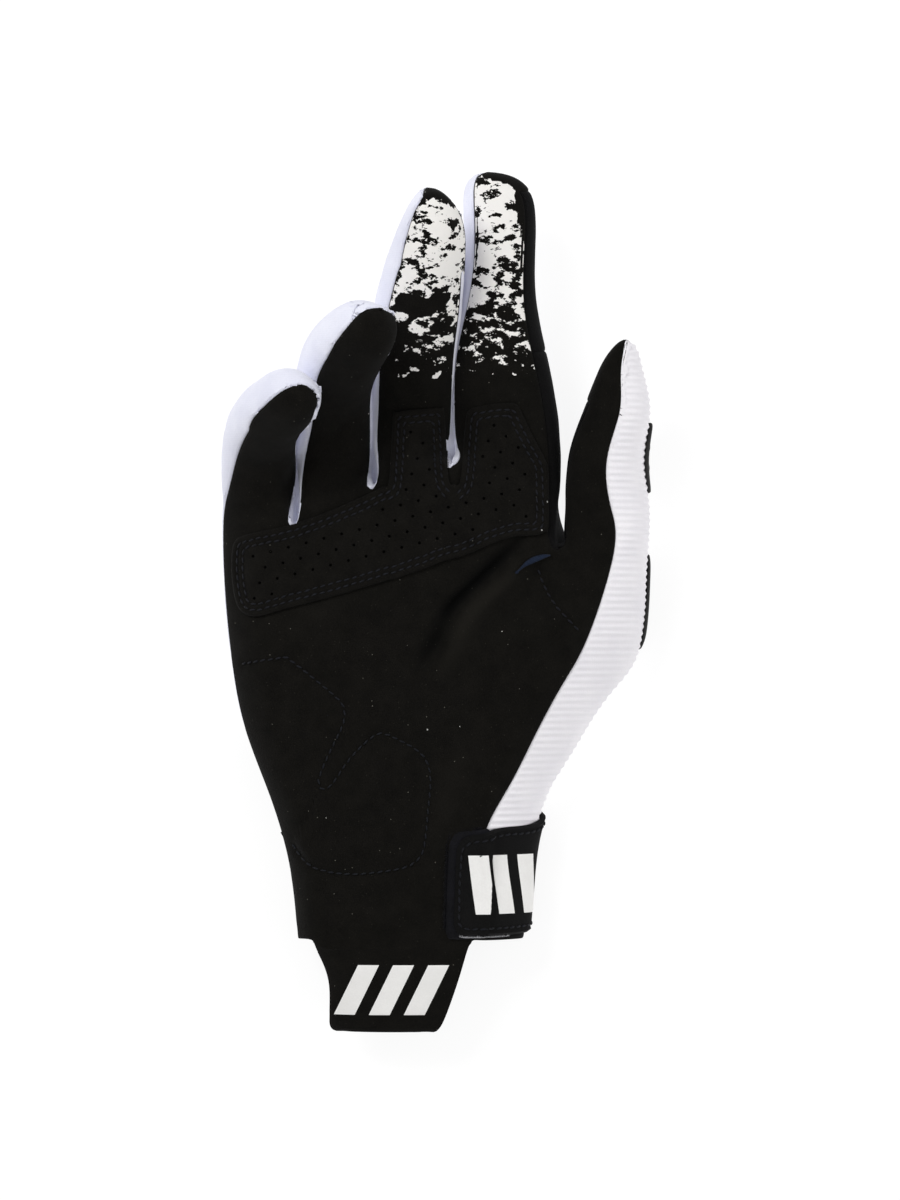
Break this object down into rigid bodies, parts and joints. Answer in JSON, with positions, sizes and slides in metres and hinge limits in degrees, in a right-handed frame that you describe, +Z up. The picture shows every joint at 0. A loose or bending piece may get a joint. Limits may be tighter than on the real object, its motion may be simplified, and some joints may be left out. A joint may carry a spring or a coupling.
{
  "type": "motocross glove",
  "caption": "Right-hand off-road riding glove lying palm up: suede palm with a perforated patch, stretch back, wrist strap and thumb guards.",
  "frame": {"origin": "middle of the glove's footprint box, on the surface that the back of the hand rests on", "axes": "+Y from the cuff to the fingertips, +X to the thumb side, +Z up out of the palm"},
  "size_m": [0.1248, 0.245, 0.0601],
  "materials": {
    "suede": "black synthetic suede, matte, short nap",
    "knit": "white stretch knit, matte",
    "ribbed_knit": "white stretch cloth with fine ribs",
    "stretch": "black stretch cloth, matte",
    "neoprene": "black laminated cloth, matte",
    "hook_tape": "black hook tape, rough",
    "guard_rubber": "black moulded rubber, satin"
  },
  "bodies": {
    "root": {"palm_panel": "suede", "palm_patch": "suede", "back_panel": "knit", "thumb_back_panel": "ribbed_knit", "gusset_pinky_ring": "knit", "gusset_ring_middle": "knit", "gusset_middle_index": "knit", "thumb_crotch_gusset": "stretch", "index_side_panel": "stretch", "cuff_band": "neoprene", "wrist_strap": "neoprene", "strap_hook_pad": "hook_tape", "thumb_guard_upper": "guard_rubber", "thumb_guard_lower": "guard_rubber"}
  },
  "joints": []
}
